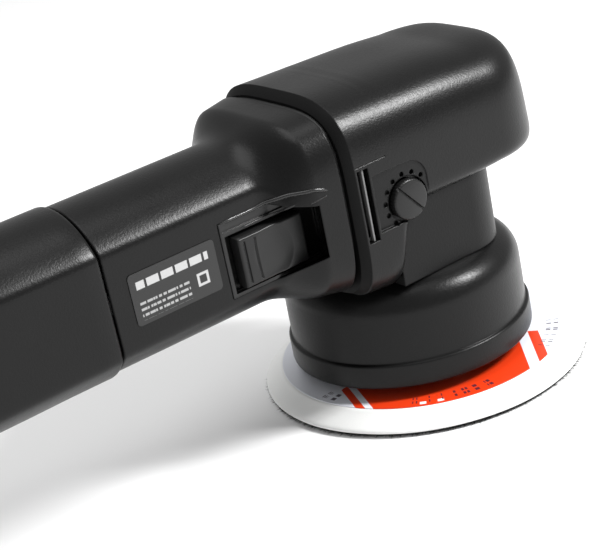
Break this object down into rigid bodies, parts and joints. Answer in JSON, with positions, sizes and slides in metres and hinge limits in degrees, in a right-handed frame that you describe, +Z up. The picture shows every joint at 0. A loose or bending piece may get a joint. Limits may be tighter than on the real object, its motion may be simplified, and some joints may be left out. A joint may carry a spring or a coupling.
{
  "type": "dual action polisher",
  "caption": "Random orbital car polisher: barrel motor handle, bevel gear head with speed dial, counterweighted eccentric drive and free spinning hook-faced backing pad.",
  "frame": {"origin": "on the drive spindle axis, in the plane of the pad hook face", "axes": "+Z up the drive spindle, away from the work; the handle runs along -X; slide switch, label and speed dial are on the -Y side"},
  "size_m": [0.3675, 0.125, 0.1258],
  "materials": {
    "moulded_plastic": "fine spark-eroded texture, satin",
    "dark_plastic": "satin",
    "slider_plastic": "smooth satin",
    "nylon_white": "smooth",
    "cast_alloy": "as cast",
    "steel": "machined",
    "bearing_steel": "ground",
    "laminated_steel": "stacked laminations",
    "gear_steel": "cut and hardened",
    "black_steel": "black oxide",
    "counterweight_iron": "cast, machined faces",
    "copper": "enamelled wire",
    "carbon": "sintered carbon",
    "phenolic": "moulded",
    "circuit_board": "solder mask",
    "component_blue": "gloss",
    "seal_felt": "oiled felt",
    "gasket_rubber": "matt",
    "label_film": "satin film",
    "pad_foam": "closed skin",
    "board_composite": "glass fibre board",
    "printed_label": "printed film",
    "washer_plastic": "smooth",
    "hook_fabric": "hook pile"
  },
  "bodies": {
    "housing": {"motor_housing": "moulded_plastic", "rear_handle": "moulded_plastic", "end_cap": "dark_plastic", "cable_inlet": "gasket_rubber", "cable_clamp": "dark_plastic", "head_cover": "moulded_plastic", "gear_case": "cast_alloy", "bearing_plate": "cast_alloy", "plate_screws": "steel", "skirt": "moulded_plastic", "spindle_seal": "seal_felt", "vent_grilles": "dark_plastic", "rating_plate": "label_film", "switch_frame": "dark_plastic", "switch_block": "dark_plastic", "potentiometer": "component_blue", "speed_module": "circuit_board", "stator_core": "laminated_steel", "stator_coils": "copper", "fan_baffle": "dark_plastic", "front_bearing": "bearing_steel", "rear_bearing": "bearing_steel", "bearing_sleeve": "dark_plastic", "brush_holders": "phenolic", "carbon_brushes": "carbon", "brush_springs": "steel", "brush_caps": "dark_plastic", "upper_bearing": "bearing_steel", "lower_bearing": "bearing_steel", "case_gasket": "gasket_rubber", "housing_screws": "steel", "cover_screws": "steel", "handle_screws": "steel"},
    "armature": {"armature_shaft": "steel", "armature_core": "laminated_steel", "armature_windings": "copper", "commutator": "copper", "cooling_fan": "nylon_white", "pinion": "gear_steel", "pinion_nut": "steel"},
    "drive": {"drive_spindle": "steel", "crown_gear": "gear_steel", "gear_clip": "steel", "counterweight": "counterweight_iron", "weight_screws": "steel", "eccentric_bearings": "bearing_steel", "bearing_clip": "black_steel"},
    "pad": {"pad_spindle": "steel", "backing_stud": "black_steel", "hub_washer": "washer_plastic", "hub_ring": "bearing_steel", "hub_rivets": "bearing_steel", "backing_board": "board_composite", "pad_foam": "pad_foam", "pad_label": "printed_label", "hook_disc": "hook_fabric"},
    "switch": {"switch_slider": "slider_plastic", "switch_rod": "steel"},
    "dial": {"speed_dial": "slider_plastic"}
  },
  "joints": [
    {"name": "drive_spin", "type": "hinge", "parent": "housing", "child": "drive", "pos_m": [0, 0, 0], "axis": [0, 0, 1], "continuous": true},
    {"name": "armature_spin", "type": "hinge", "parent": "housing", "child": "armature", "pos_m": [0, 0, 0.086], "axis": [1, 0, 0], "continuous": true},
    {"name": "pad_spin", "type": "hinge", "parent": "drive", "child": "pad", "pos_m": [0.004, 0, 0], "axis": [0, 0, 1], "continuous": true},
    {"name": "switch_slide", "type": "slide", "parent": "housing", "child": "switch", "axis": [1, 0, 0], "range_m": [0, 0.008]},
    {"name": "dial_turn", "type": "hinge", "parent": "housing", "child": "dial", "pos_m": [-0.0182, 0, 0.0834], "axis": [0, 1, 0], "range_deg": [-110, 130]}
  ],
  "couplings": [
    {"joint": "armature_spin", "follows": "drive_spin", "ratio": -3}
  ]
}
